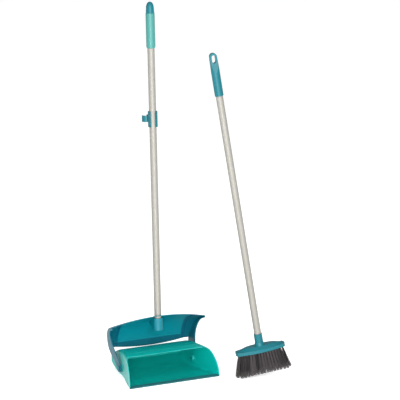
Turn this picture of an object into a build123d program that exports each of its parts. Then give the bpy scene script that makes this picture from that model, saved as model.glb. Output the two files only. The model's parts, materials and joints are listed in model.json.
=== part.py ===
"""Upright dust pan with a swing lid on a long handle, and its long-handled broom.

Row frame, in millimetres: +X to the pan's right, -Y out of the pan's mouth, +Z up.
The origin is on the floor at the middle of the pan's flat base.
"""

from build123d import *
import math
import os

os.makedirs("parts", exist_ok=True)

# ---- Dust pan -------------------------------------------------------------------------
LIP_Y = -94.0  # the front edge of the lip
PAN_DEPTH = 188.0  # from the lip back to the rear wall
WALL = 2.5
BEYOND = 200.0  # a distance past every side of the pan and lid, for cutting tools
REAR_HALF_WIDTH = 104.5
SIDE_TAPER = 0.0145  # how much each side gains per mm towards the lip
FLARE = 25.3  # what the flare adds to each side at the lip
FLARE_DEPTH = 125.0  # how far back the flare reaches
FLARE_POWER = 1.25
HOOD_HEIGHT = 72.5
HOOD_REAR_HEIGHT = 42.0
HOOD_FLAT = 100.0  # the hood is level this far back, then falls away
BASE_FLAT = 125.0  # the base is flat this far back, then rises
BASE_REAR_RISE = 17.0
MOUTH_RADIUS = 72.5  # the mouth's side edges are quarter circles
TOP_ROUND = 10.0
BOTTOM_ROUND = 11.0
LIP_BOTTOM_ROUND = 4.0
ROUND_DEPTH = 100.0  # how far back the bottom corners reach their full radius
BASE_TRIM = 1.6  # the lofted underside is cut off flat by this much
SECTION_DEPTHS = (-8, 30, 70, 105, 135, 162, PAN_DEPTH)
REAR_ROUND = 8.0
REAR_SPREAD = 0.16  # slopes of the two cuts that round the rear wall
REAR_SLOPE = 0.85
RIM_RADIUS = 1.5  # bead along the hood's front edge
LIP_DEPTH = 11.0
LIP_HEIGHT = 4.4
LIP_NOSE = 2.4  # height of the lip's blunt front
LIP_SLOPE_DEPTH = 5.0
LIP_TONGUE = 6.0  # how far the rubber reaches back under the floor

# ---- Pivot ----------------------------------------------------------------------------
PIVOT_DEPTH = 113.0
PIVOT_HEIGHT = 23.0
PIN_RADIUS = 4.0
PIN_CLEARANCE = 0.05
PIN_INNER_END = 99.0
PIN_HEAD_RADIUS = 7.0
PIN_HEAD_THICKNESS = 2.2
BOSS_RADIUS = 9.0
BOSS_INNER_END = 100.5
SIDE_GAP = 0.4  # between parts that turn past each other

# ---- Lid ------------------------------------------------------------------------------
LID_THICKNESS = 2.5
LID_REACH = 166.0  # the panel's lower edge, behind the lip
LID_FOOT = 66.0  # the height of the panel's arc centre and of its lower edge
CROWN_RADIUS = 95.0  # the panel's arc at its middle
END_RADIUS = 75.5  # and at its ends, so that it clears the mouth
END_X = 132.0
CROWN_TOP_ANGLE = 74.5
END_TOP_ANGLE = 78.0
WING_GAP = 1.5  # between the wings and the pan's sides when closed
WING_THICKNESS = 3.0
CLOSING_SHIFT = 136.0  # lid height plus the pan depth that it covers when closed
ARM_TOP = 36.0  # below this height the arms are flat plates
PANEL_RECESS = 1.1
RECESS_HALF_WIDTH = 103.0
FOOT_HALF_WIDTH = 100.0  # the bowed strip along the panel's lower edge
FOOT_DROP = 7.5
WING_TIP_DEPTH = 101.0
WING_TIP_HEIGHT = 136.5

# ---- Dust pan handle ------------------------------------------------------------------
TUBE_RADIUS = 9.5
TUBE_WALL = 1.0
HANDLE_LEAN = 2.9  # degrees, backwards
HANDLE_DEPTH = 109.0  # the handle's axis passes here at HANDLE_HEIGHT
HANDLE_HEIGHT = 150.0
SOCKET_RADIUS = 13.2
SOCKET_DROP = 32.0  # from the reference height down to the socket's foot
SOCKET_RISE = 1.0  # and up to its mouth
SOCKET_FLOOR = 3.0
GUSSET_HALF_WIDTH = 11.5
GUSSET_THICKNESS = 2.4
GUSSET_OUTLINE = ((101, 121), (104, 150), (124, 150), (150, 138), (146, 131), (101, 121))
PLUG_LENGTH = 30.0
SCREW_HEIGHT = 143.0
SCREW_RADIUS = 1.9
SCREW_HEAD_RADIUS = 3.6
SCREW_HEAD_THICKNESS = 2.2
SCREW_PAD_RADIUS = 6.5
SCREW_SEAT = 19.5  # from the tube's axis back to the underside of the screw's head
SCREW_WELL = 4.5  # how deep the head sits in its pad
SCREW_BORE_LENGTH = 40.0
SCREW_SLOT_LENGTH = 4.0
SCREW_SLOT_WIDTH = 0.9
SCREW_SLOT_DEPTH = 1.3
SCREW_HEAD_ROUND = 0.9
GRIP_RADIUS = 12.0
GRIP_START = 729.0  # along the handle from the reference point
GRIP_LENGTH = 92.0
CAP_LENGTH = 30.0
CAP_RADIUS = 11.0
CAP_TOP_RADIUS = 8.6
CAP_HOLE_RADIUS = 3.5
CAP_HOLE_DROP = 10.5
CAP_SOCKET = 12.0  # how far the tube goes into the cap

# ---- Storage clip ---------------------------------------------------------------------
CLIP_HEIGHT = 690.0
CLIP_LENGTH = 41.0
CLIP_OUTER = 12.8
CLIP_CLEARANCE = 0.05
CLIP_GAP_HALF_ANGLE = 36.0
CLIP_GAP_AZIMUTH = -109.0  # the sleeve's gap, measured from +X
HOLDER_AZIMUTH = 114.0  # the broom's holder, measured from +X
HOLDER_OFFSET = 23.0
HOLDER_LENGTH = 17.0
HOLDER_OUTER = 12.0
HOLDER_GAP_HALF_ANGLE = 52.0

# ---- Broom ----------------------------------------------------------------------------
BROOM_X = 240.4
BROOM_Y = -141.4
BROOM_TILT = 9.3  # degrees, the handle's top towards -X
BROOM_YAW = -13.0
BRISTLE_LENGTH = 61.0
BRISTLE_SET = 8.0  # how deep the tufts sit in the block
TUFT_ROOT_RADIUS = 1.9
TUFT_TIP_RADIUS = 3.1
TUFT_CLEARANCE = 0.06
STAPLE_WIDTH = 1.6
STAPLE_DEPTH = 1.0
ROW_YS = (-13.2, -4.4, 4.4, 13.2)
ROW_COUNTS = (15, 17, 17, 15)
TUFT_PITCH = 7.4
FAN_X = 1.24  # how much wider the brush is at the tips than at the block
FAN_Y = 1.35
HEAD_LENGTH = 136.0
HEAD_DEPTH = 46.0
HEAD_END_DEPTH = 25.0
HEAD_END_BULGE = 3.0
HEAD_CORNER_ROUND = 4.0
SKIRT_HEIGHT = 9.0
CROWN_HEIGHT = 7.0
CROWN_INSET = 1.5
CROWN_TOP_INSET = 24.0
FERRULE_RADIUS = 11.2
FERRULE_TOP = 109.0
FERRULE_FLARE = 2.5
FERRULE_FLARE_HEIGHT = 9.0
THREAD_RADIUS = 8.0
THREAD_CLEARANCE = 0.06
THREAD_LENGTH = 24.0
THREAD_RINGS = 5
THREAD_DEPTH = 1.0
BROOM_CAP_START = 768.0
BROOM_CAP_END = 882.0
BROOM_CAP_RADIUS = 11.5
BROOM_CAP_SOCKET = 60.0
BROOM_CAP_TOP_HALF_WIDTH = 9.5
BROOM_CAP_ROUND_SHARE = 0.55  # of its length, before it starts to flatten
BROOM_CAP_FLAT_SHARE = 0.8  # of its length, where it is flat
BROOM_CAP_TOP_HALF_DEPTH = 6.0
BROOM_HOLE_WIDTH = 10.0
BROOM_HOLE_LENGTH = 21.0
BROOM_HOLE_DROP = 16.0


def side(depth, height):
    """A point of the pan's side view, in the coordinates of Plane.YZ."""
    return (LIP_Y + depth, height)


def half_width(depth):
    """The pan's outer half-width at a depth behind the lip."""
    flare = FLARE * (max(FLARE_DEPTH - depth, 0) / FLARE_DEPTH) ** FLARE_POWER
    return REAR_HALF_WIDTH + SIDE_TAPER * (PAN_DEPTH - depth) + flare


def roof(depth):
    """The hood's height at a depth behind the lip."""
    fall = max(depth - HOOD_FLAT, 0) / (PAN_DEPTH - HOOD_FLAT)
    return HOOD_HEIGHT - (HOOD_HEIGHT - HOOD_REAR_HEIGHT) * fall**2


def underside(depth):
    """The base's height at a depth behind the lip."""
    rise = max(depth - BASE_FLAT, 0) / (PAN_DEPTH - BASE_FLAT)
    return BASE_REAR_RISE * rise**2


def bottom_round(depth):
    """The radius of the base's side corners at a depth behind the lip."""
    share = min(max(depth, 0) / ROUND_DEPTH, 1)
    return LIP_BOTTOM_ROUND + (BOTTOM_ROUND - LIP_BOTTOM_ROUND) * share


def pan_block(inset, drop):
    """The pan's outer form, or with an inset the space inside its walls.

    The form is lofted this much too low, and cut off flat at the floor.
    """
    with BuildPart() as block:
        for depth in SECTION_DEPTHS:
            width = 2 * (half_width(depth) - inset)
            low = underside(depth) + inset - drop
            high = roof(depth) - inset
            position = min(depth, PAN_DEPTH - inset)
            plane = Plane((0, LIP_Y + position, (low + high) / 2), x_dir=(1, 0, 0), z_dir=(0, -1, 0))
            with BuildSketch(plane) as section:
                Rectangle(width, high - low)
                fillet(section.vertices().sort_by(Axis.Y)[-2:], TOP_ROUND - inset)
                fillet(section.vertices().sort_by(Axis.Y)[:2], bottom_round(depth) - inset)
        loft()
        # the rear wall's corners, rounded from above and from the side
        rear = PAN_DEPTH - inset
        corner = half_width(PAN_DEPTH) - inset
        spread = corner + REAR_SPREAD * PAN_DEPTH
        with BuildSketch(Plane.XY.offset(-BEYOND)):
            with BuildLine():
                Polyline(
                    (corner, LIP_Y + rear),
                    (spread, LIP_Y),
                    (2 * spread, 2 * LIP_Y),
                    (-2 * spread, 2 * LIP_Y),
                    (-spread, LIP_Y),
                    (-corner, LIP_Y + rear),
                    close=True,
                )
            plan = make_face()
            fillet(plan.vertices().sort_by(Axis.Y)[-2:], REAR_ROUND - inset)
        extrude(amount=2 * BEYOND, mode=Mode.INTERSECT)
        with BuildSketch(Plane.YZ.offset(-BEYOND)):
            with BuildLine():
                Polyline(
                    side(rear, roof(PAN_DEPTH) - inset),
                    side(0, roof(PAN_DEPTH) + REAR_SLOPE * PAN_DEPTH),
                    side(-2 * PAN_DEPTH, 0),
                    side(0, underside(PAN_DEPTH) - REAR_SLOPE * PAN_DEPTH),
                    side(rear, underside(PAN_DEPTH) + inset),
                    close=True,
                )
            profile = make_face()
            fillet(profile.vertices().sort_by(Axis.X)[-2:], REAR_ROUND - inset)
        extrude(amount=2 * BEYOND, mode=Mode.INTERSECT)
        split(bisect_by=Plane.XY, keep=Keep.TOP)
    return block.part


outer_form = pan_block(0, BASE_TRIM)
inner_form = pan_block(WALL, 0)

# What the mouth's quarter circle leaves open in front of the pan.
with BuildPart() as mouth_cut:
    with BuildSketch(Plane.YZ):
        with BuildLine():
            RadiusArc(side(0, 0), side(MOUTH_RADIUS, HOOD_HEIGHT), MOUTH_RADIUS)
            Polyline(
                side(MOUTH_RADIUS, HOOD_HEIGHT),
                side(MOUTH_RADIUS, HOOD_HEIGHT + 20),
                side(-20, HOOD_HEIGHT + 20),
                side(-20, -5),
                side(0, -5),
                side(0, 0),
            )
        make_face()
    extrude(amount=BEYOND, both=True)

# The band along the front edge that is rubber instead of plastic.
with BuildPart() as lip_band:
    with BuildSketch(Plane.YZ):
        with BuildLine():
            Polyline(
                side(0, 0),
                side(0, LIP_NOSE),
                side(LIP_SLOPE_DEPTH, LIP_HEIGHT),
                side(LIP_DEPTH, LIP_HEIGHT),
                side(LIP_DEPTH, WALL),
                side(LIP_TONGUE, WALL),
                side(LIP_TONGUE, 0),
                side(0, 0),
            )
        make_face()
    extrude(amount=BEYOND, both=True)

with BuildPart() as floor_lip:
    add(outer_form)
    add(lip_band.part, mode=Mode.INTERSECT)
floor_lip.part.label = "floor_lip"
export_step(floor_lip.part, "parts/floor_lip.step")

boss_plane = Plane((0, LIP_Y + PIVOT_DEPTH, PIVOT_HEIGHT), x_dir=(0, 1, 0), z_dir=(1, 0, 0))
ARM_INNER = half_width(CLOSING_SHIFT - ARM_TOP) + WING_GAP
ARM_OUTER = ARM_INNER + WING_THICKNESS
BOSS_OUTER_END = ARM_INNER - SIDE_GAP

with BuildPart() as pan_body:
    add(outer_form)
    add(inner_form, mode=Mode.SUBTRACT)
    add(mouth_cut.part, mode=Mode.SUBTRACT)
    # bead along the hood's front edge
    with BuildSketch(Plane.YZ):
        with Locations(side(MOUTH_RADIUS + RIM_RADIUS, HOOD_HEIGHT - RIM_RADIUS / 2)):
            Circle(RIM_RADIUS)
    extrude(amount=half_width(MOUTH_RADIUS) - TOP_ROUND, both=True)
    # pivot bosses, one in each side wall
    for hand in (1, -1):
        with BuildSketch(boss_plane.offset(hand * BOSS_INNER_END)):
            Circle(BOSS_RADIUS)
        extrude(amount=hand * (BOSS_OUTER_END - BOSS_INNER_END))
    with BuildSketch(boss_plane):
        Circle(PIN_RADIUS)
    extrude(amount=BEYOND, both=True, mode=Mode.SUBTRACT)
    add(lip_band.part, mode=Mode.SUBTRACT)
pan_body.part.label = "pan_body"
export_step(pan_body.part, "parts/pan_body.step")

for hand, name in ((-1, "left_pivot_pin"), (1, "right_pivot_pin")):
    with BuildPart() as pin:
        head_start = ARM_OUTER + SIDE_GAP
        with BuildSketch(boss_plane.offset(hand * PIN_INNER_END)):
            Circle(PIN_RADIUS)
        extrude(amount=hand * (head_start - PIN_INNER_END))
        with BuildSketch(boss_plane.offset(hand * head_start)):
            Circle(PIN_HEAD_RADIUS)
        extrude(amount=hand * PIN_HEAD_THICKNESS)
        head_face = pin.faces().sort_by(Axis.X)[-1 if hand > 0 else 0]
        fillet(head_face.edges(), PIN_HEAD_THICKNESS / 2)
        end_face = pin.faces().sort_by(Axis.X)[0 if hand > 0 else -1]
        chamfer(end_face.edges(), 0.6)
    pin.part.label = name
    export_step(pin.part, f"parts/{name}.step")


# ---- The lid --------------------------------------------------------------------------
def arc_point(centre, radius, angle):
    """A point of the panel's side view, at an angle above the lower edge."""
    rad = math.radians(angle)
    return side(centre + radius * math.cos(rad), LID_FOOT + radius * math.sin(rad))


def lid_slab(front, back, low_angle, overrun):
    """A crowned slab between two offsets from the panel's inner surface."""
    with BuildPart() as slab:
        for x in (-END_X - 10, -END_X / 2, 0, END_X / 2, END_X + 10):
            share = (x / END_X) ** 2
            radius = CROWN_RADIUS + (END_RADIUS - CROWN_RADIUS) * share
            centre = LID_REACH - radius
            top = CROWN_TOP_ANGLE + (END_TOP_ANGLE - CROWN_TOP_ANGLE) * share + overrun
            middle = (low_angle + top) / 2
            inner = radius + front
            outer = radius + back
            with BuildSketch(Plane.YZ.offset(x)):
                with BuildLine():
                    ThreePointArc(
                        arc_point(centre, inner, low_angle),
                        arc_point(centre, inner, middle),
                        arc_point(centre, inner, top),
                    )
                    Line(arc_point(centre, inner, top), arc_point(centre, outer, top))
                    ThreePointArc(
                        arc_point(centre, outer, top),
                        arc_point(centre, outer, middle),
                        arc_point(centre, outer, low_angle),
                    )
                    Line(arc_point(centre, outer, low_angle), arc_point(centre, inner, low_angle))
                make_face()
        loft()
    return slab.part


def wing_inner(height):
    """The inner half-width of the lid's sides at a height of the open lid."""
    return half_width(CLOSING_SHIFT - height) + WING_GAP


WING_HEIGHTS = (50, 66, 84, 101, 118, 136, 160)

# The front view between the middles of the two wings, where the panel ends.
with BuildPart() as front_view:
    with BuildSketch(Plane.XZ.offset(-BEYOND)):
        right_edge = [(wing_inner(h) + WING_THICKNESS / 2, h) for h in WING_HEIGHTS]
        left_edge = [(-x, h) for x, h in right_edge]
        with BuildLine():
            Spline(*right_edge)
            Line(right_edge[-1], left_edge[-1])
            Spline(*reversed(left_edge))
            Line(left_edge[0], right_edge[0])
        make_face()
    extrude(amount=2 * BEYOND)

# Each side of the lid, as a strip of even thickness seen from the front.
side_strips = []
for hand in (1, -1):
    with BuildPart() as strip:
        with BuildSketch(Plane.XZ.offset(-BEYOND)):
            inner_edge = [(hand * ARM_INNER, ARM_TOP)]
            inner_edge += [(hand * wing_inner(h), h) for h in WING_HEIGHTS]
            outer_edge = [(x + hand * WING_THICKNESS, h) for x, h in inner_edge]
            with BuildLine():
                Line((hand * ARM_INNER, 5), inner_edge[0])
                Spline(*inner_edge)
                Line(inner_edge[-1], outer_edge[-1])
                Spline(*reversed(outer_edge))
                Line(outer_edge[0], (hand * ARM_OUTER, 5))
                Line((hand * ARM_OUTER, 5), (hand * ARM_INNER, 5))
            make_face()
        extrude(amount=2 * BEYOND)
    side_strips.append(strip.part)

# The side view of a wing and its arm, round at the pivot.
with BuildPart() as side_view:
    with BuildSketch(Plane.YZ):
        end_centre = LID_REACH - END_RADIUS
        end_middle = END_RADIUS + LID_THICKNESS * 0.55  # inside the panel's thickness
        end_top = arc_point(end_centre, end_middle, END_TOP_ANGLE)
        end_back = arc_point(end_centre, end_middle, 40)
        end_low = arc_point(end_centre, end_middle, 0)
        wing_tip = side(WING_TIP_DEPTH, WING_TIP_HEIGHT)
        pivot = side(PIVOT_DEPTH, PIVOT_HEIGHT)
        with BuildLine():
            ThreePointArc(end_top, end_back, end_low)
            Spline(
                end_low,
                side(158, 50),
                side(138, 34),
                side(PIVOT_DEPTH + 7, PIVOT_HEIGHT - 8.5),
            )
            ThreePointArc(
                side(PIVOT_DEPTH + 7, PIVOT_HEIGHT - 8.5),
                side(PIVOT_DEPTH - 8, PIVOT_HEIGHT - 7.5),
                side(PIVOT_DEPTH - 9.5, PIVOT_HEIGHT + 5.5),
            )
            Spline(
                side(PIVOT_DEPTH - 9.5, PIVOT_HEIGHT + 5.5),
                side(112, 44),
                side(125, 63),
                side(136, 97),
                side(127, 122),
                wing_tip,
                tangents=[(0.4, 1), (-1, 0.45)],
            )
            Line(wing_tip, end_top)
        make_face()
        with Locations(pivot):
            Circle(PIN_RADIUS + PIN_CLEARANCE, mode=Mode.SUBTRACT)
    extrude(amount=BEYOND, both=True)

# The handle's own frame: +Z along the tube, from the reference point at its middle.
lean = math.radians(HANDLE_LEAN)
handle_axis = (0, math.sin(lean), math.cos(lean))
handle_plane = Plane((0, LIP_Y + HANDLE_DEPTH, HANDLE_HEIGHT), x_dir=(1, 0, 0), z_dir=handle_axis)
socket_foot = handle_plane.offset(-SOCKET_DROP)
tube_foot = handle_plane.offset(SOCKET_FLOOR - SOCKET_DROP)

panel = lid_slab(0, LID_THICKNESS, 0, 0)
recess = lid_slab(-1, PANEL_RECESS, 9, 4)
behind_panel = lid_slab(LID_THICKNESS / 2, 60, -20, 30)

with BuildPart() as lid:
    add(panel)
    add(front_view.part, mode=Mode.INTERSECT)
    # the front face is set back inside a rim
    with BuildPart(mode=Mode.PRIVATE) as recess_cut:
        add(recess)
        Box(2 * RECESS_HALF_WIDTH, 2 * BEYOND, 2 * BEYOND, mode=Mode.INTERSECT)
    add(recess_cut.part, mode=Mode.SUBTRACT)
    # wings and arms
    for strip in side_strips:
        with BuildPart(mode=Mode.PRIVATE) as wing:
            add(strip)
            add(side_view.part, mode=Mode.INTERSECT)
        add(wing.part)
    # bowed strip along the lower edge
    with BuildSketch(Plane.XZ.offset(-LIP_Y - LID_REACH)):
        with BuildLine():
            ThreePointArc(
                (-FOOT_HALF_WIDTH, LID_FOOT),
                (0, LID_FOOT - FOOT_DROP),
                (FOOT_HALF_WIDTH, LID_FOOT),
            )
            Polyline(
                (FOOT_HALF_WIDTH, LID_FOOT),
                (FOOT_HALF_WIDTH, LID_FOOT + LID_THICKNESS),
                (-FOOT_HALF_WIDTH, LID_FOOT + LID_THICKNESS),
                (-FOOT_HALF_WIDTH, LID_FOOT),
            )
        make_face()
    extrude(amount=-LID_THICKNESS)
    # ribs from the panel to the handle socket
    with BuildPart(mode=Mode.PRIVATE) as ribs:
        for hand in (-1, 1):
            with BuildSketch(Plane.YZ.offset(hand * GUSSET_HALF_WIDTH)):
                with BuildLine():
                    Polyline(*[side(*point) for point in GUSSET_OUTLINE])
                make_face()
            extrude(amount=-hand * GUSSET_THICKNESS)
        add(behind_panel, mode=Mode.SUBTRACT)
    add(ribs.part)
    # handle socket
    with BuildSketch(socket_foot):
        Circle(SOCKET_RADIUS)
    extrude(amount=SOCKET_DROP + SOCKET_RISE)
    # pad behind the panel for the screw
    screw_plane = Plane((0, LIP_Y + HANDLE_DEPTH, SCREW_HEIGHT), x_dir=(1, 0, 0), z_dir=(0, 1, 0))
    with BuildSketch(screw_plane.offset(TUBE_RADIUS + 1)):
        Circle(SCREW_PAD_RADIUS)
    extrude(amount=SCREW_SEAT + SCREW_WELL - TUBE_RADIUS - 1)
    with BuildSketch(screw_plane.offset(SCREW_SEAT)):
        Circle(SCREW_HEAD_RADIUS + 0.5)
    extrude(amount=2 * SCREW_WELL, mode=Mode.SUBTRACT)
    with BuildSketch(tube_foot):
        Circle(TUBE_RADIUS)
    extrude(amount=SOCKET_DROP + 20, mode=Mode.SUBTRACT)
    with BuildSketch(screw_plane):
        Circle(SCREW_RADIUS)
    extrude(amount=SCREW_BORE_LENGTH, mode=Mode.SUBTRACT)
lid.part.label = "lid"
export_step(lid.part, "parts/lid.step")

# ---- Handle tube and what is on it ----------------------------------------------------
tube_length = GRIP_START + GRIP_LENGTH + CAP_SOCKET + SOCKET_DROP - SOCKET_FLOOR
with BuildPart() as dustpan_tube:
    with BuildSketch(tube_foot):
        Circle(TUBE_RADIUS)
        Circle(TUBE_RADIUS - TUBE_WALL, mode=Mode.SUBTRACT)
    extrude(amount=tube_length)
    with BuildSketch(screw_plane):
        Circle(SCREW_RADIUS)
    extrude(amount=SCREW_BORE_LENGTH, mode=Mode.SUBTRACT)
dustpan_tube.part.label = "dustpan_tube"
export_step(dustpan_tube.part, "parts/dustpan_tube.step")

with BuildPart() as dustpan_tube_plug:
    with BuildSketch(tube_foot.offset(1)):
        Circle(TUBE_RADIUS - TUBE_WALL)
    extrude(amount=PLUG_LENGTH)
    chamfer(dustpan_tube_plug.edges().filter_by(GeomType.CIRCLE), 0.8)
    with BuildSketch(screw_plane.offset(-1)):
        Circle(SCREW_RADIUS)
    extrude(amount=SCREW_BORE_LENGTH, mode=Mode.SUBTRACT)
dustpan_tube_plug.part.label = "dustpan_tube_plug"
export_step(dustpan_tube_plug.part, "parts/dustpan_tube_plug.step")

with BuildPart() as socket_screw:
    with BuildSketch(screw_plane.offset(-1)):
        Circle(SCREW_RADIUS)
    extrude(amount=SCREW_SEAT + 1)
    with BuildSketch(screw_plane.offset(SCREW_SEAT)):
        Circle(SCREW_HEAD_RADIUS)
    extrude(amount=SCREW_HEAD_THICKNESS)
    fillet(socket_screw.edges().sort_by(Axis.Y)[-1], SCREW_HEAD_ROUND)
    # cross recess
    with BuildSketch(screw_plane.offset(SCREW_SEAT + SCREW_HEAD_THICKNESS)):
        Rectangle(SCREW_SLOT_LENGTH, SCREW_SLOT_WIDTH)
        Rectangle(SCREW_SLOT_WIDTH, SCREW_SLOT_LENGTH)
    extrude(amount=-SCREW_SLOT_DEPTH, mode=Mode.SUBTRACT)
socket_screw.part.label = "socket_screw"
export_step(socket_screw.part, "parts/socket_screw.step")

with BuildPart() as dustpan_grip:
    with BuildSketch(handle_plane.offset(GRIP_START)):
        Circle(GRIP_RADIUS)
    extrude(amount=GRIP_LENGTH)
    ends = dustpan_grip.edges().filter_by(GeomType.CIRCLE)
    chamfer(ends.sort_by(Axis.Z)[0], 3.0, 1.6)
    fillet(dustpan_grip.edges().filter_by(GeomType.CIRCLE).sort_by(Axis.Z)[-1], 0.8)
    with BuildSketch(handle_plane.offset(GRIP_START)):
        Circle(TUBE_RADIUS)
    extrude(amount=GRIP_LENGTH, mode=Mode.SUBTRACT)
dustpan_grip.part.label = "dustpan_grip"
export_step(dustpan_grip.part, "parts/dustpan_grip.step")

cap_plane = handle_plane.offset(GRIP_START + GRIP_LENGTH)
with BuildPart() as dustpan_hang_cap:
    with BuildSketch(Plane(cap_plane.origin, x_dir=(1, 0, 0), z_dir=(0, -math.cos(lean), math.sin(lean)))):
        with BuildLine():
            Line((0, 0), (CAP_RADIUS, 0))
            Spline(
                (CAP_RADIUS, 0),
                (CAP_RADIUS - 0.4, 10),
                (CAP_TOP_RADIUS, CAP_LENGTH - 7),
                (0, CAP_LENGTH),
                tangents=[(0, 1), (-1, 0)],
            )
            Line((0, CAP_LENGTH), (0, 0))
        make_face()
    revolve(axis=Axis(cap_plane.origin, handle_axis))
    with BuildSketch(cap_plane):
        Circle(TUBE_RADIUS)
    extrude(amount=CAP_SOCKET, mode=Mode.SUBTRACT)
    hole_plane = Plane(
        cap_plane.offset(CAP_LENGTH - CAP_HOLE_DROP).origin, x_dir=(0, 1, 0), z_dir=(1, 0, 0)
    )
    with BuildSketch(hole_plane):
        Circle(CAP_HOLE_RADIUS)
    extrude(amount=40, both=True, mode=Mode.SUBTRACT)
dustpan_hang_cap.part.label = "dustpan_hang_cap"
export_step(dustpan_hang_cap.part, "parts/dustpan_hang_cap.step")


# ---- Storage clip ---------------------------------------------------------------------
def polar(radius, azimuth):
    """A point in a plane, from its distance and its angle from the plane's x."""
    rad = math.radians(azimuth)
    return (radius * math.cos(rad), radius * math.sin(rad))


def gap_wedge(centre, azimuth, half_angle, reach):
    """Cut a wedge out of the current sketch, to open a ring towards an azimuth."""
    corners = [
        (0, 0),
        polar(reach, azimuth - half_angle),
        polar(2 * reach, azimuth),
        polar(reach, azimuth + half_angle),
    ]
    places = [(x + centre[0], y + centre[1]) for x, y in corners]
    Polygon(*places, align=None, mode=Mode.SUBTRACT)


clip_plane = handle_plane.offset((CLIP_HEIGHT - HANDLE_HEIGHT) / math.cos(lean))
holder = polar(HOLDER_OFFSET, HOLDER_AZIMUTH)
with BuildPart() as storage_clip:
    with BuildSketch(clip_plane.offset(-CLIP_LENGTH / 2)):
        Circle(CLIP_OUTER)
        Circle(TUBE_RADIUS + CLIP_CLEARANCE, mode=Mode.SUBTRACT)
        gap_wedge((0, 0), CLIP_GAP_AZIMUTH, CLIP_GAP_HALF_ANGLE, 20)
    extrude(amount=CLIP_LENGTH)
    with BuildSketch(clip_plane.offset(-HOLDER_LENGTH / 2)):
        with Locations(holder):
            Circle(HOLDER_OUTER)
        with Locations(Location(polar(HOLDER_OFFSET / 2, HOLDER_AZIMUTH), HOLDER_AZIMUTH)):
            Rectangle(HOLDER_OFFSET - TUBE_RADIUS, 9)
        with Locations(holder):
            Circle(TUBE_RADIUS, mode=Mode.SUBTRACT)
        Circle(TUBE_RADIUS + CLIP_CLEARANCE, mode=Mode.SUBTRACT)
        gap_wedge(holder, HOLDER_AZIMUTH, HOLDER_GAP_HALF_ANGLE, 20)
    extrude(amount=HOLDER_LENGTH)
storage_clip.part.label = "storage_clip"
export_step(storage_clip.part, "parts/storage_clip.step")

# ---- Broom ----------------------------------------------------------------------------
# The broom's own frame: X along the head, +Z along the handle, from the tips' middle.
tilt = math.radians(BROOM_TILT)
yaw = math.radians(BROOM_YAW)
broom_x = Vector(math.cos(tilt) * math.cos(yaw), math.cos(tilt) * math.sin(yaw), math.sin(tilt))
broom_z = Vector(-math.sin(tilt) * math.cos(yaw), -math.sin(tilt) * math.sin(yaw), math.cos(tilt))
tip_half_width = TUFT_PITCH * (ROW_COUNTS[1] - 1) / 2 * FAN_X + TUFT_TIP_RADIUS
BROOM_Z = tip_half_width * math.sin(tilt)
broom_plane = Plane((BROOM_X, BROOM_Y, BROOM_Z), x_dir=broom_x, z_dir=broom_z)
BLOCK_TOP = BRISTLE_LENGTH + SKIRT_HEIGHT


def tuft_axis(x, y, height):
    """The middle of a tuft at a height above the tips, in the broom's frame."""
    spread = 1 - height / BRISTLE_LENGTH
    return (x * (1 + (FAN_X - 1) * spread), y * (1 + (FAN_Y - 1) * spread), height)


def tuft_places(row):
    """Where the tufts of a row enter the underside of the block."""
    count = ROW_COUNTS[row]
    start = -TUFT_PITCH * (count - 1) / 2
    return [(start + TUFT_PITCH * i, ROW_YS[row]) for i in range(count)]


def tuft_plane(x, y, height):
    """A plane across a tuft, facing down along it."""
    middle = broom_plane.from_local_coords(tuft_axis(x, y, height))
    below = broom_plane.from_local_coords(tuft_axis(x, y, height - 1))
    return Plane(middle, x_dir=broom_plane.y_dir, z_dir=below - middle)


for row in range(len(ROW_YS)):
    with BuildPart() as bristle_row:
        for x, y in tuft_places(row):
            with BuildPart(mode=Mode.PRIVATE) as tuft:
                with BuildSketch(tuft_plane(x, y, BRISTLE_LENGTH)):
                    Circle(TUFT_ROOT_RADIUS)
                extrude(amount=-BRISTLE_SET)
                with BuildSketch(tuft_plane(x, y, BRISTLE_LENGTH)):
                    Circle(TUFT_ROOT_RADIUS)
                with BuildSketch(tuft_plane(x, y, 0)):
                    Circle(TUFT_TIP_RADIUS)
                loft()
            add(tuft.part)
    name = f"bristle_row_{row + 1}"
    bristle_row.part.label = name
    export_step(bristle_row.part, f"parts/{name}.step")

with BuildPart() as tuft_staples:
    for row in range(len(ROW_YS)):
        for x, y in tuft_places(row):
            with BuildSketch(tuft_plane(x, y, BRISTLE_LENGTH + BRISTLE_SET)):
                Rectangle(2 * TUFT_ROOT_RADIUS - 0.6, STAPLE_WIDTH)
            extrude(amount=-STAPLE_DEPTH)
tuft_staples.part.label = "tuft_staples"
export_step(tuft_staples.part, "parts/tuft_staples.step")

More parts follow.
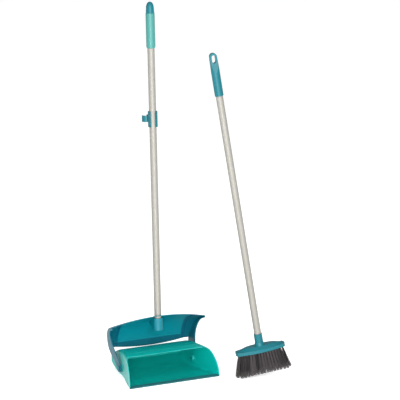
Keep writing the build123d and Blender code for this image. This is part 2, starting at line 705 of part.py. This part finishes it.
head_shoulder = HEAD_LENGTH / 2 - HEAD_END_BULGE
with BuildPart() as broom_head:
    # block with blunt ends
    with BuildSketch(broom_plane.offset(BRISTLE_LENGTH)):
        with BuildLine():
            for hand in (1, -1):
                ThreePointArc(
                    (-head_shoulder, hand * HEAD_END_DEPTH / 2),
                    (0, hand * HEAD_DEPTH / 2),
                    (head_shoulder, hand * HEAD_END_DEPTH / 2),
                )
                ThreePointArc(
                    (hand * head_shoulder, -HEAD_END_DEPTH / 2),
                    (hand * HEAD_LENGTH / 2, 0),
                    (hand * head_shoulder, HEAD_END_DEPTH / 2),
                )
        outline = make_face()
        fillet(outline.vertices(), HEAD_CORNER_ROUND)
    extrude(amount=SKIRT_HEIGHT)
    # crown, drawn in above the skirt
    with BuildSketch(broom_plane.offset(BLOCK_TOP)):
        Ellipse(HEAD_LENGTH / 2 - CROWN_INSET, HEAD_DEPTH / 2 - CROWN_INSET)
    with BuildSketch(broom_plane.offset(BLOCK_TOP + CROWN_HEIGHT)):
        Ellipse(HEAD_LENGTH / 2 - CROWN_TOP_INSET, FERRULE_RADIUS + 2)
    loft()
    # ferrule, flared where it meets the crown
    with BuildSketch(broom_plane.offset(BLOCK_TOP)):
        Circle(FERRULE_RADIUS)
    extrude(amount=FERRULE_TOP - BLOCK_TOP)
    with BuildSketch(broom_plane.offset(BLOCK_TOP + CROWN_HEIGHT)):
        Circle(FERRULE_RADIUS + FERRULE_FLARE)
    with BuildSketch(broom_plane.offset(BLOCK_TOP + CROWN_HEIGHT + FERRULE_FLARE_HEIGHT)):
        Circle(FERRULE_RADIUS)
    loft()
    with BuildSketch(broom_plane.offset(FERRULE_TOP)):
        Circle(THREAD_RADIUS + THREAD_CLEARANCE)
    extrude(amount=-THREAD_LENGTH - 2, mode=Mode.SUBTRACT)
    for row in range(len(ROW_YS)):
        for x, y in tuft_places(row):
            with BuildSketch(tuft_plane(x, y, BRISTLE_LENGTH - 1)):
                Circle(TUFT_ROOT_RADIUS + TUFT_CLEARANCE)
            extrude(amount=-BRISTLE_SET - STAPLE_DEPTH - 2, mode=Mode.SUBTRACT)
broom_head.part.label = "broom_head"
export_step(broom_head.part, "parts/broom_head.step")

tube_start = FERRULE_TOP + SIDE_GAP
with BuildPart() as broom_tube:
    with BuildSketch(broom_plane.offset(tube_start)):
        Circle(TUBE_RADIUS)
        Circle(TUBE_RADIUS - TUBE_WALL, mode=Mode.SUBTRACT)
    extrude(amount=BROOM_CAP_START + BROOM_CAP_SOCKET - tube_start)
broom_tube.part.label = "broom_tube"
export_step(broom_tube.part, "parts/broom_tube.step")

with BuildPart() as broom_thread_end:
    with BuildSketch(broom_plane.offset(tube_start)):
        Circle(TUBE_RADIUS - TUBE_WALL)
    extrude(amount=PLUG_LENGTH)
    with BuildSketch(broom_plane.offset(tube_start)):
        Circle(THREAD_RADIUS - THREAD_DEPTH)
    extrude(amount=-THREAD_LENGTH)
    pitch = THREAD_LENGTH / THREAD_RINGS
    for turn in range(THREAD_RINGS):
        ring_start = tube_start - THREAD_LENGTH + pitch * (turn + 0.25)
        with BuildSketch(broom_plane.offset(ring_start)):
            Circle(THREAD_RADIUS)
        extrude(amount=pitch / 2)
broom_thread_end.part.label = "broom_thread_end"
export_step(broom_thread_end.part, "parts/broom_thread_end.step")

cap_foot = broom_plane.offset(BROOM_CAP_START)
cap_length = BROOM_CAP_END - BROOM_CAP_START
front_plane = Plane(cap_foot.origin, x_dir=broom_x, z_dir=broom_plane.y_dir * -1)
side_plane = Plane(cap_foot.origin, x_dir=broom_plane.y_dir, z_dir=broom_x)
with BuildPart() as broom_hang_cap:
    with BuildSketch(cap_foot):
        Circle(BROOM_CAP_RADIUS)
    extrude(amount=cap_length)
    # round top in the front view, thinner towards the top in the side view
    with BuildSketch(front_plane.offset(-2 * BROOM_CAP_RADIUS)):
        with BuildLine():
            Polyline(
                (-BROOM_CAP_TOP_HALF_WIDTH, cap_length - BROOM_CAP_TOP_HALF_WIDTH),
                (-BROOM_CAP_RADIUS, cap_length / 2),
                (-BROOM_CAP_RADIUS, 0),
                (BROOM_CAP_RADIUS, 0),
                (BROOM_CAP_RADIUS, cap_length / 2),
                (BROOM_CAP_TOP_HALF_WIDTH, cap_length - BROOM_CAP_TOP_HALF_WIDTH),
            )
            ThreePointArc(
                (BROOM_CAP_TOP_HALF_WIDTH, cap_length - BROOM_CAP_TOP_HALF_WIDTH),
                (0, cap_length),
                (-BROOM_CAP_TOP_HALF_WIDTH, cap_length - BROOM_CAP_TOP_HALF_WIDTH),
            )
        make_face()
    extrude(amount=4 * BROOM_CAP_RADIUS, mode=Mode.INTERSECT)
    with BuildSketch(side_plane.offset(-2 * BROOM_CAP_RADIUS)):
        with BuildLine():
            Polyline(
                (-BROOM_CAP_RADIUS, 0),
                (BROOM_CAP_RADIUS, 0),
                (BROOM_CAP_RADIUS, cap_length * BROOM_CAP_ROUND_SHARE),
                (BROOM_CAP_TOP_HALF_DEPTH, cap_length * BROOM_CAP_FLAT_SHARE),
                (BROOM_CAP_TOP_HALF_DEPTH, cap_length),
                (-BROOM_CAP_TOP_HALF_DEPTH, cap_length),
                (-BROOM_CAP_TOP_HALF_DEPTH, cap_length * BROOM_CAP_FLAT_SHARE),
                (-BROOM_CAP_RADIUS, cap_length * BROOM_CAP_ROUND_SHARE),
                close=True,
            )
        make_face()
    extrude(amount=4 * BROOM_CAP_RADIUS, mode=Mode.INTERSECT)
    with BuildSketch(front_plane.offset(-2 * BROOM_CAP_RADIUS)):
        with Locations((0, cap_length - BROOM_HOLE_DROP)):
            SlotOverall(BROOM_HOLE_LENGTH, BROOM_HOLE_WIDTH, rotation=90)
    extrude(amount=4 * BROOM_CAP_RADIUS, mode=Mode.SUBTRACT)
    with BuildSketch(cap_foot):
        Circle(TUBE_RADIUS)
    extrude(amount=BROOM_CAP_SOCKET, mode=Mode.SUBTRACT)
broom_hang_cap.part.label = "broom_hang_cap"
export_step(broom_hang_cap.part, "parts/broom_hang_cap.step")
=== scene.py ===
"""Looks for the upright dust pan and its broom: materials, fine bristles, studio and camera."""

import json
import math
import random

import bpy
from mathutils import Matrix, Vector


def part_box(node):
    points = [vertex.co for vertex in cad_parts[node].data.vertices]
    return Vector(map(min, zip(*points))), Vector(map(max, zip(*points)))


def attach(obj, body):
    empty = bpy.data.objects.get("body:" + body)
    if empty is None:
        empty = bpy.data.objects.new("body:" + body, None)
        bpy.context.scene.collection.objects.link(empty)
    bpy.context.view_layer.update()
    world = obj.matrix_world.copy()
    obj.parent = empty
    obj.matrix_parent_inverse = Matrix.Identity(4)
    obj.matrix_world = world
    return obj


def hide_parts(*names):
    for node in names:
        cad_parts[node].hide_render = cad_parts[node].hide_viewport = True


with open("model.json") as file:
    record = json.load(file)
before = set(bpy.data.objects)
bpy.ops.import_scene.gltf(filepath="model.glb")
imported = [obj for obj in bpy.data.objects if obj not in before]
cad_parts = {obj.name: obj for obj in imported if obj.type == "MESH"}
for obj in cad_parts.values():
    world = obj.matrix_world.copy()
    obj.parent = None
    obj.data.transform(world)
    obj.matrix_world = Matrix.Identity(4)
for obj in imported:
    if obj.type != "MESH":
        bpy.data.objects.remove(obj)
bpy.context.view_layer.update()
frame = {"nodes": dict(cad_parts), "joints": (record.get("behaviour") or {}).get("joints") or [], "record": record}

MM = 0.001
SEED = 7

# ---- Camera and studio ----------------------------------------------------------------
VIEW_AZIMUTH = -25.26  # degrees
VIEW_ELEVATION = 13.7
VIEW_DISTANCE = 6.0
VIEW_HEIGHT = 0.5
VIEW_RIGHT = 0.1066  # how far right of the pan's middle the camera aims
VIEW_UP = -0.0201
LENS = 204.4
SENSOR = 36.0
WORLD_LIGHT = 0.55  # the world as it lights the object
BACKDROP_LIGHT = 1.1  # the world as the camera sees it
FLOOR_SIZE = 40
FLOOR_GLOW = 0.44  # keeps the pale floor even where the lights fall off
WHITE = (1.0, 1.0, 1.0, 1.0)
LIGHTS = (  # name, azimuth, elevation, distance, size, power, aim height
    ("front_high", -14, 24, 4.2, 2.4, 190, 0.15),
    ("front_low", -26, 5, 3.0, 0.9, 60, 0.05),
    ("top", 20, 75, 3.2, 2.4, 14, 0.2),
    ("left", -100, 30, 3.2, 2.0, 16, 0.3),
)


def direction(azimuth, elevation):
    """The unit vector from the object towards a viewer at these angles in degrees."""
    a = math.radians(azimuth)
    e = math.radians(elevation)
    return Vector((math.sin(a) * math.cos(e), -math.cos(a) * math.cos(e), math.sin(e)))


def make_camera():
    """The photograph's viewpoint."""
    back = direction(VIEW_AZIMUTH, VIEW_ELEVATION)
    right = Vector((0, 0, 1)).cross(back).normalized()
    up = back.cross(right)
    aim = Vector((0, 0, VIEW_HEIGHT)) + right * VIEW_RIGHT + up * VIEW_UP
    data = bpy.data.cameras.new("camera")
    data.sensor_width = SENSOR
    data.lens = LENS
    camera = bpy.data.objects.new("camera", data)
    camera.location = aim + back * VIEW_DISTANCE
    camera.rotation_euler = back.to_track_quat("Z", "Y").to_euler()
    bpy.context.collection.objects.link(camera)
    bpy.context.scene.camera = camera


def area_light(name, azimuth, elevation, distance, size, power, aim_height):
    """A square soft box, aimed at a height above the floor's middle."""
    data = bpy.data.lights.new(name, "AREA")
    data.size = size
    data.energy = power
    light = bpy.data.objects.new(name, data)
    back = direction(azimuth, elevation)
    light.location = Vector((0, 0, aim_height)) + back * distance
    light.rotation_euler = back.to_track_quat("Z", "Y").to_euler()
    bpy.context.collection.objects.link(light)


def make_studio():
    """Plain white surroundings, soft lights and a pale floor."""
    scene = bpy.context.scene
    scene.view_settings.view_transform = "Standard"
    world = bpy.data.worlds.new("studio")
    world.use_nodes = True
    tree = world.node_tree
    soft_light = tree.nodes["Background"]
    soft_light.inputs["Color"].default_value = WHITE
    soft_light.inputs["Strength"].default_value = WORLD_LIGHT
    backdrop = tree.nodes.new("ShaderNodeBackground")
    backdrop.inputs["Color"].default_value = WHITE
    backdrop.inputs["Strength"].default_value = BACKDROP_LIGHT
    ray = tree.nodes.new("ShaderNodeLightPath")
    choice = tree.nodes.new("ShaderNodeMixShader")
    tree.links.new(ray.outputs["Is Camera Ray"], choice.inputs[0])
    tree.links.new(soft_light.outputs[0], choice.inputs[1])
    tree.links.new(backdrop.outputs[0], choice.inputs[2])
    tree.links.new(choice.outputs[0], tree.nodes["World Output"].inputs["Surface"])
    scene.world = world

    for light in LIGHTS:
        area_light(*light)

    bpy.ops.mesh.primitive_plane_add(size=FLOOR_SIZE)
    floor = bpy.context.object
    floor.name = "floor"
    floor.data.materials.append(floor_material())


# ---- Material helpers -----------------------------------------------------------------
NOISE_RANGE = (0.25, 0.75)  # where most of a noise texture's values lie
BEVEL_SAMPLES = 4


def new_material(name):
    """A material with a Principled shader; returns it with its tree and shader."""
    material = bpy.data.materials.new(name)
    material.use_nodes = True
    tree = material.node_tree
    return material, tree, tree.nodes["Principled BSDF"]


def noise(tree, scale, detail=2.0, stretch=(1, 1, 1)):
    """Noise in object space; stretch scales each axis."""
    place = tree.nodes.new("ShaderNodeTexCoord")
    mapping = tree.nodes.new("ShaderNodeMapping")
    mapping.inputs["Scale"].default_value = stretch
    tree.links.new(place.outputs["Object"], mapping.inputs["Vector"])
    texture = tree.nodes.new("ShaderNodeTexNoise")
    texture.inputs["Scale"].default_value = scale
    texture.inputs["Detail"].default_value = detail
    tree.links.new(mapping.outputs["Vector"], texture.inputs["Vector"])
    return texture.outputs["Fac"]


def spread(tree, value, low, high):
    """Maps noise to the range between two numbers."""
    node = tree.nodes.new("ShaderNodeMapRange")
    node.inputs["From Min"].default_value = NOISE_RANGE[0]
    node.inputs["From Max"].default_value = NOISE_RANGE[1]
    node.inputs["To Min"].default_value = low
    node.inputs["To Max"].default_value = high
    tree.links.new(value, node.inputs["Value"])
    return node.outputs["Result"]


def mix_colours(tree, factor, first, second):
    """A mix of two colours by a factor socket; each colour is a value or a socket."""
    node = tree.nodes.new("ShaderNodeMix")
    node.data_type = "RGBA"
    tree.links.new(factor, node.inputs["Factor"])
    for socket, colour in ((node.inputs[6], first), (node.inputs[7], second)):
        if isinstance(colour, tuple):
            socket.default_value = (*colour, 1.0)
        else:
            tree.links.new(colour, socket)
    return node.outputs[2]


def edge_mask(tree, radius, gain):
    """Near 1 along convex and concave edges, 0 on open surface; also the softened normal."""
    bevel = tree.nodes.new("ShaderNodeBevel")
    bevel.samples = BEVEL_SAMPLES
    bevel.inputs["Radius"].default_value = radius
    surface = tree.nodes.new("ShaderNodeNewGeometry")
    dot = tree.nodes.new("ShaderNodeVectorMath")
    dot.operation = "DOT_PRODUCT"
    tree.links.new(bevel.outputs["Normal"], dot.inputs[0])
    tree.links.new(surface.outputs["Normal"], dot.inputs[1])
    node = tree.nodes.new("ShaderNodeMapRange")
    node.inputs["From Min"].default_value = 1.0
    node.inputs["From Max"].default_value = 1.0 - 1.0 / gain
    tree.links.new(dot.outputs["Value"], node.inputs["Value"])
    return node.outputs["Result"], bevel.outputs["Normal"]


def bump(tree, height, strength, distance, normal=None):
    """A bumped normal, on top of another one if given."""
    node = tree.nodes.new("ShaderNodeBump")
    node.inputs["Strength"].default_value = strength
    node.inputs["Distance"].default_value = distance
    tree.links.new(height, node.inputs["Height"])
    if normal is not None:
        tree.links.new(normal, node.inputs["Normal"])
    return node.outputs["Normal"]


def object_axis(tree, axis):
    """One object-space coordinate, in metres."""
    place = tree.nodes.new("ShaderNodeTexCoord")
    parts = tree.nodes.new("ShaderNodeSeparateXYZ")
    tree.links.new(place.outputs["Object"], parts.inputs["Vector"])
    return parts.outputs[axis]


def calculate(tree, operation, first, second):
    """A Math node on two inputs, each a number or a socket."""
    node = tree.nodes.new("ShaderNodeMath")
    node.operation = operation
    for socket, value in zip(node.inputs, (first, second)):
        if isinstance(value, (int, float)):
            socket.default_value = value
        else:
            tree.links.new(value, socket)
    return node.outputs["Value"]


def ramp(tree, value, start, end):
    """0 below start, 1 above end, smooth between."""
    node = tree.nodes.new("ShaderNodeMapRange")
    node.interpolation_type = "SMOOTHSTEP"
    node.inputs["From Min"].default_value = start
    node.inputs["From Max"].default_value = end
    tree.links.new(value, node.inputs["Value"])
    return node.outputs["Result"]


# ---- Materials ------------------------------------------------------------------------
# Colours are linear RGB
# The edge colours are painted highlights, paler plastic along edges where light catches them
PAN_COLOUR = (0.0, 0.275, 0.25)
PAN_EDGE_HIGHLIGHT = (0.06, 0.42, 0.38)
LIP_COLOUR = (0.0, 0.06, 0.07)
LID_COLOUR = (0.0, 0.14, 0.18)
LID_RIM = (0.0, 0.075, 0.11)
# Painted shade: the darker colour of the step between the lid's rim and panel
LID_STEP_SHADE = (0.0, 0.055, 0.095)
LID_EDGE_HIGHLIGHT = (0.0, 0.18, 0.21)
FITTING_COLOUR = (0.0, 0.10, 0.125)  # caps, clip and broom head
FITTING_EDGE_HIGHLIGHT = (0.0, 0.15, 0.17)
GRIP_COLOUR = (0.03, 0.185, 0.17)
TUBE_COLOUR = (0.25, 0.243, 0.22)
INNER_COLOUR = (0.03, 0.03, 0.03)
INNER_EDGE_HIGHLIGHT = (0.06, 0.06, 0.06)
STEEL_DULL = (0.48, 0.47, 0.44)
STEEL_BRIGHT = (0.66, 0.66, 0.64)
FIBRE_DARK = (0.003, 0.002, 0.003)
FIBRE_PALE = (0.075, 0.066, 0.07)
FIBRE_TIP = (0.10, 0.09, 0.09)
FLOOR_DARK = (0.95, 0.95, 0.95)
FLOOR_PALE = (0.97, 0.97, 0.97)

CLOUDINESS = 0.93  # how dark the cloudy patches in moulded plastic are
PAN_ROUGHNESS = 0.36
PAN_GLOW = 0.9
LID_ROUGHNESS = 0.42
LID_GLOW = 0.25
INNER_ROUGHNESS = 0.45
PANEL_HALF_WIDTH = 93 * MM  # the lid's thinner front panel
PANEL_LOW = 79 * MM
RIM_BLEND = 2 * MM
STEP_WIDTH = 7 * MM
STEP_BLEND = 5 * MM
FLAGGED_FROM = 0.72  # share of a fibre's length where its paler tip starts


def moulded_plastic(name, colour, edge_highlight_colour, roughness, grain=0.12, glow=0.0):
    """Satin moulded plastic: cloudy colour, paler edges as a painted highlight, fine spark-eroded grain."""
    material, tree, shader = new_material(name)
    cloudy = tuple(c * CLOUDINESS for c in colour)
    body = mix_colours(tree, noise(tree, scale=22, detail=3), cloudy, colour)
    # Painted highlight: edges are mixed towards the paler edge colour
    mask, soft_normal = edge_mask(tree, radius=0.9 * MM, gain=6)
    tree.links.new(mix_colours(tree, mask, body, edge_highlight_colour), shader.inputs["Base Color"])
    worn = noise(tree, scale=60, detail=4)
    rough = spread(tree, worn, low=roughness - 0.04, high=roughness + 0.05)
    tree.links.new(rough, shader.inputs["Roughness"])
    sparks = noise(tree, scale=1500, detail=2)
    grained = bump(tree, sparks, strength=grain, distance=0.1 * MM, normal=soft_normal)
    waves = noise(tree, scale=28, detail=1)
    wavy = bump(tree, waves, strength=0.05, distance=1.0 * MM, normal=grained)
    tree.links.new(wavy, shader.inputs["Normal"])
    shader.inputs["IOR"].default_value = 1.49
    shader.inputs["Specular IOR Level"].default_value = 0.3
    shader.inputs["Subsurface Weight"].default_value = glow
    shader.inputs["Subsurface Radius"].default_value = (0.2, 1.0, 0.9)
    shader.inputs["Subsurface Scale"].default_value = 9 * MM
    return material


def bordered_lid(name, colour, border, step_shade_colour, edge_highlight_colour):
    """The lid's plastic: deeper where its rim is thick, with painted shade darkest at the step into the panel."""
    material = moulded_plastic(name, colour, edge_highlight_colour, LID_ROUGHNESS, glow=LID_GLOW)
    tree = material.node_tree
    shader = tree.nodes["Principled BSDF"]
    across = calculate(tree, "ABSOLUTE", object_axis(tree, "X"), 0)
    height = object_axis(tree, "Z")
    outside = ramp(tree, across, PANEL_HALF_WIDTH, PANEL_HALF_WIDTH + RIM_BLEND)
    depth = calculate(tree, "MULTIPLY", height, -1)
    under = ramp(tree, depth, -PANEL_LOW, RIM_BLEND - PANEL_LOW)
    rim = calculate(tree, "MAXIMUM", outside, under)
    # Painted shade: a darker band where the rim steps into the panel
    step_end = PANEL_HALF_WIDTH + STEP_WIDTH
    beyond_step = ramp(tree, across, step_end, step_end + STEP_BLEND)
    step = calculate(tree, "MULTIPLY", outside, calculate(tree, "SUBTRACT", 1, beyond_step))
    plain_colour = shader.inputs["Base Color"].links[0].from_socket
    with_rim = mix_colours(tree, rim, plain_colour, border)
    tree.links.new(mix_colours(tree, step, with_rim, step_shade_colour), shader.inputs["Base Color"])
    return material


def lipped_pan(name, colour, lip_colour, edge_highlight_colour):
    """The pan's plastic, in the lip's colour over its front edge.

    This covers a fault of the CAD: a strip of pan_body lies on the nose of the lip, which the
    real pan doesn't have.
    """
    material = moulded_plastic(name, colour, edge_highlight_colour, PAN_ROUGHNESS, glow=PAN_GLOW)
    tree = material.node_tree
    shader = tree.nodes["Principled BSDF"]
    low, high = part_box("floor_lip")
    behind = ramp(tree, object_axis(tree, "Y"), high.y - 1 * MM, high.y)
    above = ramp(tree, object_axis(tree, "Z"), high.z + 0.3 * MM, high.z + 0.8 * MM)
    rest = calculate(tree, "MAXIMUM", behind, above)
    plain_colour = shader.inputs["Base Color"].links[0].from_socket
    tree.links.new(mix_colours(tree, rest, lip_colour, plain_colour), shader.inputs["Base Color"])
    return material


def soft_grip(name, colour):
    """Soft-touch sleeve with a fine pebbled skin."""
    material, tree, shader = new_material(name)
    darker = tuple(c * 0.9 for c in colour)
    body = mix_colours(tree, noise(tree, scale=40, detail=3), darker, colour)
    tree.links.new(body, shader.inputs["Base Color"])
    shader.inputs["Roughness"].default_value = 0.48
    cells = tree.nodes.new("ShaderNodeTexVoronoi")
    cells.inputs["Scale"].default_value = 900
    place = tree.nodes.new("ShaderNodeTexCoord")
    tree.links.new(place.outputs["Object"], cells.inputs["Vector"])
    pebbled = bump(tree, cells.outputs["Distance"], strength=0.18, distance=0.25 * MM)
    tree.links.new(pebbled, shader.inputs["Normal"])
    return material


def rubber(name, colour):
    """Soft matt rubber with scuffs."""
    material, tree, shader = new_material(name)
    scuffed = tuple(c * 1.4 + 0.004 for c in colour)
    body = mix_colours(tree, noise(tree, scale=140, detail=5), colour, scuffed)
    tree.links.new(body, shader.inputs["Base Color"])
    rough = spread(tree, noise(tree, scale=220, detail=3), low=0.6, high=0.8)
    tree.links.new(rough, shader.inputs["Roughness"])
    skin = bump(tree, noise(tree, scale=900, detail=3), strength=0.2, distance=0.2 * MM)
    tree.links.new(skin, shader.inputs["Normal"])
    return material


def coated_tube(name, colour):
    """Satin powder-coated metal tube with faint draw lines along it."""
    material, tree, shader = new_material(name)
    darker = tuple(c * 0.9 for c in colour)
    lines = noise(tree, scale=700, detail=2, stretch=(1, 1, 0.004))
    body = mix_colours(tree, lines, darker, colour)
    tree.links.new(body, shader.inputs["Base Color"])
    shader.inputs["Metallic"].default_value = 0.35
    shader.inputs["Specular IOR Level"].default_value = 0.25
    rough = spread(tree, noise(tree, scale=90, detail=4), low=0.5, high=0.6)
    tree.links.new(rough, shader.inputs["Roughness"])
    powder = bump(tree, noise(tree, scale=2600, detail=2), strength=0.08, distance=0.08 * MM)
    drawn = bump(tree, lines, strength=0.05, distance=0.05 * MM, normal=powder)
    tree.links.new(drawn, shader.inputs["Normal"])
    return material


def plated_steel(name):
    """Plated steel with dull patches."""
    material, tree, shader = new_material(name)
    body = mix_colours(tree, noise(tree, scale=300, detail=3), STEEL_DULL, STEEL_BRIGHT)
    tree.links.new(body, shader.inputs["Base Color"])
    shader.inputs["Metallic"].default_value = 1.0
    rough = spread(tree, noise(tree, scale=500, detail=3), low=0.25, high=0.4)
    tree.links.new(rough, shader.inputs["Roughness"])
    return material


def bristle_material(name):
    """Dark synthetic fibre, paler where the tips are flagged."""
    material, tree, shader = new_material(name)
    along = tree.nodes.new("ShaderNodeAttribute")
    along.attribute_name = "along"
    tips = tree.nodes.new("ShaderNodeMapRange")
    tips.inputs["From Min"].default_value = FLAGGED_FROM
    tips.inputs["From Max"].default_value = 1.0
    tree.links.new(along.outputs["Fac"], tips.inputs["Value"])
    shade = tree.nodes.new("ShaderNodeAttribute")
    shade.attribute_name = "shade"
    body = mix_colours(tree, shade.outputs["Fac"], FIBRE_DARK, FIBRE_PALE)
    tipped = mix_colours(tree, tips.outputs["Result"], body, FIBRE_TIP)
    tree.links.new(tipped, shader.inputs["Base Color"])
    shader.inputs["Roughness"].default_value = 0.5
    shader.inputs["Specular IOR Level"].default_value = 0.35
    return material


def floor_material():
    """A pale, faintly uneven floor that glows a little."""
    material, tree, shader = new_material("studio_floor")
    body = mix_colours(tree, noise(tree, scale=3, detail=2), FLOOR_DARK, FLOOR_PALE)
    tree.links.new(body, shader.inputs["Base Color"])
    shader.inputs["Roughness"].default_value = 0.7
    shader.inputs["Emission Color"].default_value = WHITE
    shader.inputs["Emission Strength"].default_value = FLOOR_GLOW
    return material


def make_materials():
    """One material for each of the record's slots."""
    return {
        "pan_plastic": lipped_pan("pan_plastic", PAN_COLOUR, LIP_COLOUR, PAN_EDGE_HIGHLIGHT),
        "lid_plastic": moulded_plastic(
            "lid_plastic", FITTING_COLOUR, FITTING_EDGE_HIGHLIGHT, LID_ROUGHNESS
        ),
        "grip_plastic": soft_grip("grip_plastic", GRIP_COLOUR),
        "lip_rubber": rubber("lip_rubber", LIP_COLOUR),
        "tube_metal": coated_tube("tube_metal", TUBE_COLOUR),
        "inner_plastic": moulded_plastic(
            "inner_plastic", INNER_COLOUR, INNER_EDGE_HIGHLIGHT, INNER_ROUGHNESS
        ),
        "steel": plated_steel("steel"),
        "bristle": bristle_material("bristle"),
    }


def dress_cad_nodes(materials):
    """Gives every CAD node the finished material of its record slot, and the lid its own."""
    own = {"lid": bordered_lid("lid_panel_plastic", LID_COLOUR, LID_RIM, LID_STEP_SHADE, LID_EDGE_HIGHLIGHT)}
    for entry in frame["record"]["subparts"]:
        piece = frame["nodes"][entry["node"]]
        piece.data.materials.clear()
        finish = own.get(entry["node"], materials[entry["material_slot"]])
        piece.data.materials.append(finish)


# ---- Bristles -------------------------------------------------------------------------
FIBRES_PER_TUFT = 60
FIBRE_RADIUS = 0.26 * MM
ROOT_SPREAD = 1.35 * MM
TIP_SPREAD = 4.3 * MM
LENGTH_JITTER = 1.2 * MM
BEND = 0.9 * MM
TONE_WANDER = 0.3
TAPER = 0.2  # share of its radius that a fibre loses towards the tip
BEND_END = 0.9  # how far through half a wave a fibre's bend runs
TUFT_END = 0.05  # share of a tuft's length that counts as its end
STEPS = 4
SIDES = 3


def loose_parts(mesh):
    """Vertex indices of each separate solid of a mesh."""
    parent = list(range(len(mesh.vertices)))

    def find(i):
        while parent[i] != i:
            parent[i] = parent[parent[i]]
            i = parent[i]
        return i

    seen = {}
    for vertex in mesh.vertices:
        key = tuple(round(c, 6) for c in vertex.co)
        parent[vertex.index] = seen.setdefault(key, vertex.index)
    for edge in mesh.edges:
        a, b = (find(i) for i in edge.vertices)
        parent[a] = b
    groups = {}
    for vertex in mesh.vertices:
        groups.setdefault(find(vertex.index), []).append(vertex.index)
    return list(groups.values())


def tuft_ends(mesh, indices, axis):
    """The middles of a tuft's two ends along the broom's axis: root, tip."""
    heights = {i: mesh.vertices[i].co.dot(axis) for i in indices}
    low = min(heights.values())
    high = max(heights.values())
    reach = (high - low) * TUFT_END
    root = [mesh.vertices[i].co for i in indices if heights[i] > high - reach]
    tip = [mesh.vertices[i].co for i in indices if heights[i] < low + reach]
    return sum(root, Vector()) / len(root), sum(tip, Vector()) / len(tip)


def add_fibre(build, root, tip, bend, tone):
    """One tapered, slightly bent fibre as a thin prism."""
    points, faces, along, shade = build
    run = (tip - root).normalized()
    across = run.orthogonal().normalized()
    other = run.cross(across)
    start = len(points)
    for step in range(STEPS + 1):
        share = step / STEPS
        middle = root.lerp(tip, share) + bend * math.sin(math.pi * share * BEND_END) * share
        radius = FIBRE_RADIUS * (1 - TAPER * share)
        for side in range(SIDES):
            angle = 2 * math.pi * side / SIDES
            points.append(middle + (across * math.cos(angle) + other * math.sin(angle)) * radius)
            along.append(share)
            shade.append(tone)
    for step in range(STEPS):
        for side in range(SIDES):
            a = start + step * SIDES + side
            b = start + step * SIDES + (side + 1) % SIDES
            faces.append((a, b, b + SIDES, a + SIDES))
    faces.append(tuple(start + side for side in reversed(range(SIDES))))
    last = start + STEPS * SIDES
    faces.append(tuple(last + side for side in range(SIDES)))


def make_bristles(node, material, axis, rng):
    """Replaces a row of plain tufts by bundles of fine fibres."""
    mesh = frame["nodes"][node].data
    build = ([], [], [], [])
    for indices in loose_parts(mesh):
        root, tip = tuft_ends(mesh, indices, axis)
        run = (tip - root).normalized()
        across = run.orthogonal().normalized()
        other = run.cross(across)
        tuft_tone = rng.random()
        for _ in range(FIBRES_PER_TUFT):
            radius = math.sqrt(rng.random())
            angle = rng.uniform(0, 2 * math.pi)
            way = across * math.cos(angle) + other * math.sin(angle)
            end = tip + way * radius * TIP_SPREAD - run * rng.uniform(0, LENGTH_JITTER)
            end.z = max(end.z, FIBRE_RADIUS)
            bend = Vector([rng.gauss(0, BEND) for _ in range(3)])
            tone = min(max(rng.gauss(tuft_tone, TONE_WANDER), 0), 1)
            add_fibre(build, root + way * radius * ROOT_SPREAD, end, bend, tone)
    points, faces, along, shade = build
    data = bpy.data.meshes.new(f"fibres_{node}")
    data.from_pydata(points, [], faces)
    for name, values in (("along", along), ("shade", shade)):
        attribute = data.attributes.new(name, "FLOAT", "POINT")
        attribute.data.foreach_set("value", values)
    data.polygons.foreach_set("use_smooth", [True] * len(data.polygons))
    data.materials.append(material)
    piece = bpy.data.objects.new(f"fibres_{node}", data)
    bpy.context.collection.objects.link(piece)
    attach(piece, "broom")
    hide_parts(node)


def broom_axis():
    """The direction up the broom's handle."""
    for joint in frame["joints"]:
        if joint["name"] == "broom_handle_unscrew":
            return Vector(joint["axis"]).normalized()
    raise ValueError("the frame has no broom_handle_unscrew joint")


# ---- Scene ----------------------------------------------------------------------------
make_camera()
make_studio()
materials = make_materials()
dress_cad_nodes(materials)
rng = random.Random(SEED)
for node in sorted(frame["nodes"]):
    if node.startswith("bristle_row"):
        make_bristles(node, materials["bristle"], broom_axis(), rng)
